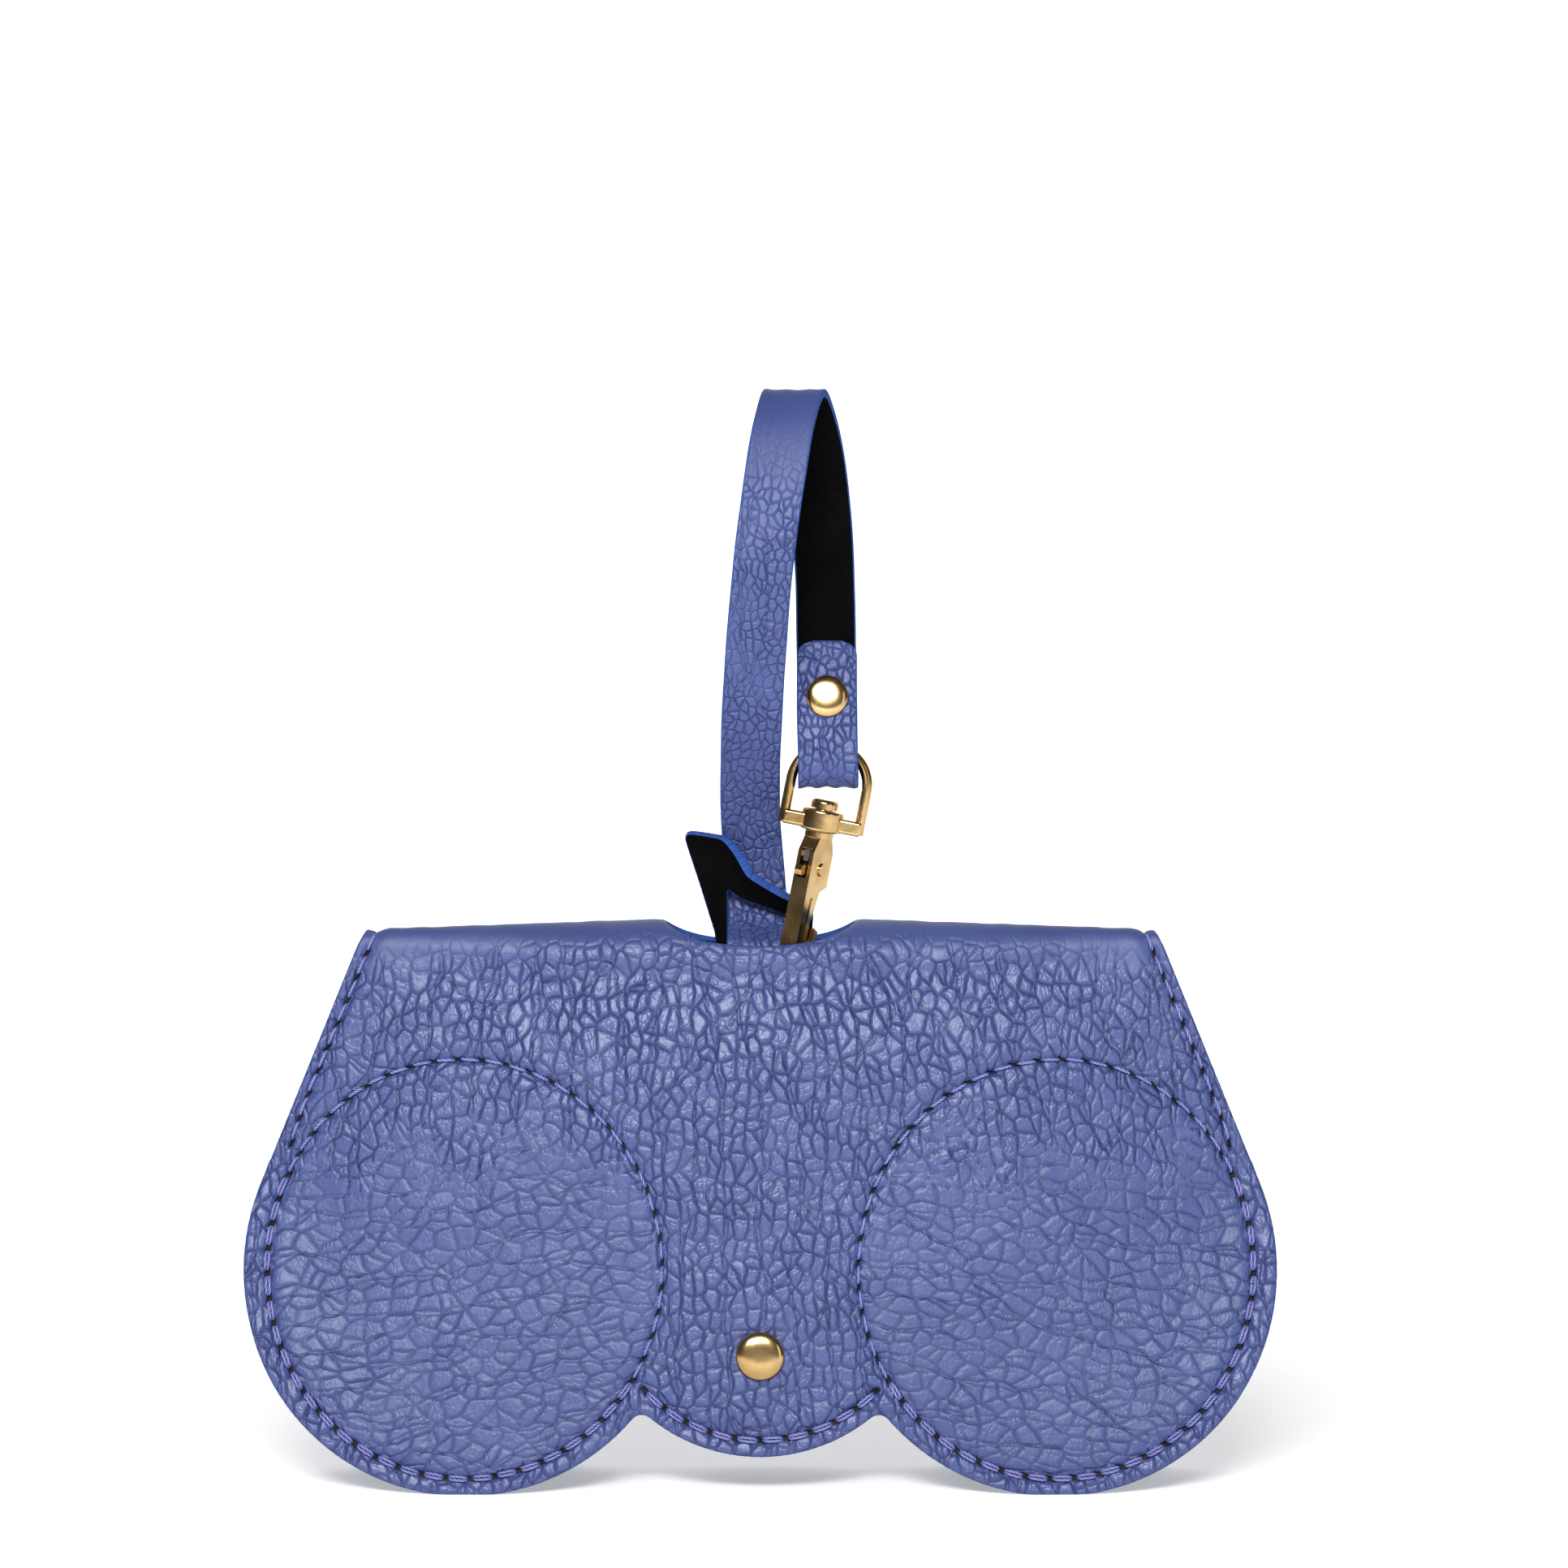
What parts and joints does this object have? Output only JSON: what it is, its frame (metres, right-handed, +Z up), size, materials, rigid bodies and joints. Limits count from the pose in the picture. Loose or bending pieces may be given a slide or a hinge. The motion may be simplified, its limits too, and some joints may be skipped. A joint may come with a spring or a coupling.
{
  "type": "soft glasses sleeve",
  "caption": "Soft leather glasses sleeve with lens-shaped lobes, open at the bottom, a wrist loop through the top and a swivel snap hook.",
  "frame": {"origin": "on the floor under the middle of the sleeve, at the bottom centre of its bounds", "axes": "+X to the right along the width, +Y to the back, +Z up along the height to the wrist loop"},
  "size_m": [0.17, 0.0348, 0.1807],
  "materials": {
    "leather": "pebbled, satin",
    "lining": "smooth, matte",
    "strap_leather": "pebbled, satin, black flesh side",
    "thread": "waxed thread",
    "gold": "pale gold plating, polished",
    "spring_steel": "brushed"
  },
  "bodies": {
    "sleeve": {"outer_leather": "leather", "lining": "lining", "pull_strap": "strap_leather", "tongue_foot": "strap_leather", "front_rivet_cap": "gold", "front_rivet_base": "gold", "back_rivet_cap": "gold", "back_rivet_base": "gold", "front_left_lens_seam": "thread", "front_right_lens_seam": "thread", "front_bottom_seam": "thread", "back_left_lens_seam": "thread", "back_right_lens_seam": "thread", "back_bottom_seam": "thread", "left_side_seam": "thread", "right_side_seam": "thread"},
    "loop": {"wrist_loop": "strap_leather", "tongue_tip": "strap_leather", "strap_rivet_cap": "gold", "strap_rivet_base": "gold", "swivel_ring": "gold"},
    "hook": {"hook_body": "gold", "gate_pin": "gold", "gate_spring": "spring_steel"},
    "gate": {"hook_gate": "gold"}
  },
  "joints": [
    {"name": "loop_lean", "type": "hinge", "parent": "sleeve", "child": "loop", "pos_m": [0, 0.0018, 0.0875], "axis": [1, 0, 0], "range_deg": [-12, 12], "stiffness_Nm_per_rad": 0.06},
    {"name": "hook_swivel", "type": "hinge", "parent": "loop", "child": "hook", "pos_m": [0.0101, -0.0011, 0.10935], "axis": [0.1908, 0, 0.9816], "range_deg": [-45, 10]},
    {"name": "hook_gate", "type": "hinge", "parent": "hook", "child": "gate", "pos_m": [0.00886, -0.00067, 0.10165], "axis": [-0.8501, 0.5, 0.1652], "range_deg": [0, 9], "stiffness_Nm_per_rad": 0.02, "springref_deg": -11.46}
  ]
}
